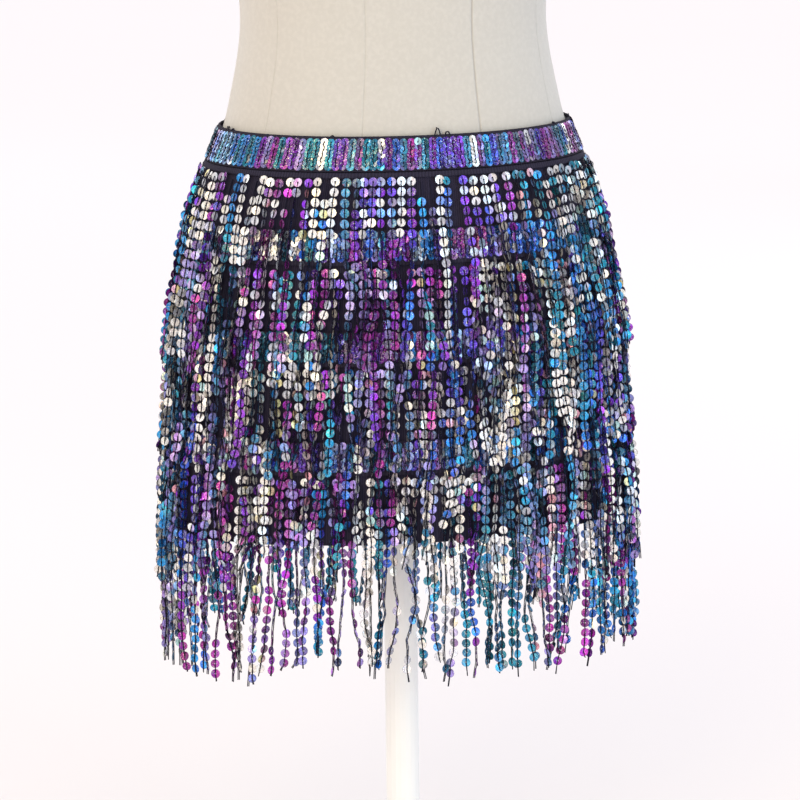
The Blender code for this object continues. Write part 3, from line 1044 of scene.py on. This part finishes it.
def add_world():
    """A white studio, bright overhead, with the dim side of the room behind the camera."""
    world = bpy.data.worlds.new("Studio")
    world.use_nodes = True
    bpy.context.scene.world = world
    nodes = Nodes(world.node_tree)
    direction = nodes.add("ShaderNodeTexCoord", output="Generated")
    _x, depth, height = parts_of(nodes, direction)
    sky = nodes.mix(height.fade(-0.05, 0.75), (0.50, 0.50, 0.53), (1.15, 1.13, 1.14))
    dim = (0 - depth).fade(0.15, 0.80) * height.fade(0.62, 0.20)
    room = nodes.mix(dim * 0.8, sky, (0.42, 0.42, 0.50))
    backdrop = world.node_tree.nodes["Background"]
    world.node_tree.links.new(room.socket, backdrop.inputs["Color"])


def add_stage():
    half = 25.0
    corners = [(-half, -half, 0), (half, -half, 0), (half, half, 0), (-half, half, 0)]
    floor = add_mesh("studio_floor", corners, [(0, 1, 2, 3)], floor_finish(), smooth=False)
    add_world()
    add_light("window_left", (-1.7, -2.6, 1.7), (0, 0, 0.42), 1.7, 36, (1.0, 0.80, 0.45))
    add_light("lamp_right", (1.6, -2.8, 1.2), (0, 0, 0.42), 1.3, 21, (0.52, 0.80, 1.0))
    add_light("lamp_back_left", (-2.2, 2.3, 1.6), (0, 0, 0.45), 1.0, 13, (1.0, 0.97, 0.93))
    add_light("lamp_back_right", (2.3, 2.1, 1.5), (0, 0, 0.45), 1.0, 13, (0.93, 0.97, 1.0))
    bpy.context.scene.view_settings.view_transform = "Standard"


def keep(piece, node):
    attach(piece, "root")
    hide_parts(node)


# Soft creases of the lining, by their middles. The half width and the lean up the cloth are turns.
Crease = namedtuple("Crease", "turn height half_length half_width lift lean")
CREASES = tuple(Crease(*row) for row in (
    (-0.47, 0.318, 0.034, 0.0110, 0.0016, 0.10),
    (-0.41, 0.309, 0.022, 0.0075, 0.0011, -0.15),
    (-0.36, 0.330, 0.041, 0.0130, 0.0013, 0.20),
    (-0.29, 0.312, 0.026, 0.0085, 0.0018, -0.05),
    (-0.225, 0.322, 0.036, 0.0120, 0.0012, 0.12),
    (-0.17, 0.307, 0.019, 0.0070, 0.0015, 0.0),
    (-0.12, 0.316, 0.030, 0.0095, 0.0010, -0.18),
    (-0.055, 0.310, 0.024, 0.0080, 0.0019, 0.06),
    (0.005, 0.325, 0.038, 0.0125, 0.0012, 0.16),
    (0.062, 0.308, 0.020, 0.0070, 0.0016, -0.10),
    (0.11, 0.319, 0.033, 0.0105, 0.0011, 0.05),
    (0.19, 0.311, 0.025, 0.0085, 0.0017, -0.14),
    (0.235, 0.327, 0.040, 0.0120, 0.0010, 0.09),
    (0.30, 0.309, 0.021, 0.0075, 0.0014, 0.02),
    (0.345, 0.321, 0.035, 0.0115, 0.0018, -0.08),
    (0.405, 0.313, 0.028, 0.0090, 0.0012, 0.17),
    (0.455, 0.306, 0.018, 0.0065, 0.0015, -0.04),
))


def crease_lift(turns, height):
    """How far the lining's soft creases lift it off the form at a height."""
    lift = np.zeros(len(turns))
    for crease in CREASES:
        away = (turns - crease.turn - crease.lean * (height - crease.height) + 0.5) % 1 - 0.5
        down = (height - crease.height) / crease.half_length
        lift += crease.lift * np.exp(-((away / crease.half_width) ** 2) - down**2)
    return lift


def add_lining():
    outline = wall_outline(LINING_HEM, LINING_TOP, LINING_INSIDE, LINING_WALL, 70)
    # The knit's second colour is its painted rib highlight.
    finish = knit_finish("Black stretch knit", (0.014, 0.012, 0.029), (0.034, 0.029, 0.060), 0.0016)
    piece = cloth_tube("lining_knit", outline, LINING_COLUMNS, finish, crease_lift)
    keep(piece, "lining")


def add_waistband(tree, film, thread):
    outline = wall_outline(BAND_BOTTOM, BAND_TOP, BAND_INSIDE, BAND_WALL, 22)
    # The second colour is the painted highlight of the elastic's cords.
    colours = (0.010, 0.008, 0.019), (0.032, 0.028, 0.050)
    finish = knit_finish("Black corded elastic", *colours, 0.0011, across=False)
    band = cloth_tube("waistband_elastic", outline, BAND_COLUMNS, finish)
    keep(band, "waistband")
    chance = np.random.default_rng(78)
    strung = Strung()
    top = BAND_TOP - BAND_MARGIN
    out = BAND_INSIDE + BAND_WALL + 0.0005
    sew_columns(strung, chance, top, 141, 7, BAND_OVERLAP, out, BAND_PALENESS, 1.0, BAND_SHADE)
    for turn, rise in LOOSE_ENDS:
        add_loose_end(strung, chance, turn, rise)
    sequins = string_sequins(strung, "waistband_sequins", tree, film, thread)
    keep(sequins, "waistband")


def add_tier(number, tier, tree, film, thread, tape_finish):
    node = f"fringe_tier_{number}"
    chance = np.random.default_rng(90 + number)
    strung = hang_tier(number, tier)
    width = tier.tape_top - tier.tape_bottom
    has_header = width > 0.02
    if has_header:
        count = round(girth_at(tier.tape_top - 0.01) / COLUMN_PITCH)
        out = TAPE_INSIDE + TAPE_WALL + 0.0006
        look = HEADER_PALENESS, 3.0, HEADER_SHADE
        sew_columns(strung, chance, tier.tape_top, count, 6, HEADER_OVERLAP, out, *look)
    fringe = string_sequins(strung, node + "_sequins", tree, film, thread)
    keep(fringe, node)
    steps = 20 if has_header else 5
    outline = wall_outline(tier.tape_bottom, tier.tape_top, TAPE_INSIDE, TAPE_WALL, steps, 0.0003)
    tape = cloth_tube(node + "_tape", outline, BAND_COLUMNS, tape_finish)
    keep(tape, node)
    if has_header:
        size = (round(girth_at(tier.tape_top), 3), width)


def add_stand():
    painted = ("form_collar", "stand_pole", "pole_collar", "stand_base")
    finishes = dict.fromkeys(painted, paint_finish())
    finishes["neck_cap"] = wood_finish()
    for node, finish in finishes.items():
        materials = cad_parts[node].data.materials
        materials.clear()
        materials.append(finish)


def build():
    add_camera()
    add_stage()
    add_stand()
    keep(add_form(jersey_finish()), "form_torso")
    add_lining()
    film, thread = sequin_finish(), thread_finish()
    tree = string_tree()
    add_waistband(tree, film, thread)
    # The second colour is the tape's painted rib highlight.
    tape_finish = knit_finish("Black ribbed tape", (0.013, 0.011, 0.025), (0.033, 0.029, 0.056), 0.0024)
    for number, tier in enumerate(TIERS, 1):
        add_tier(number, tier, tree, film, thread, tape_finish)


build()
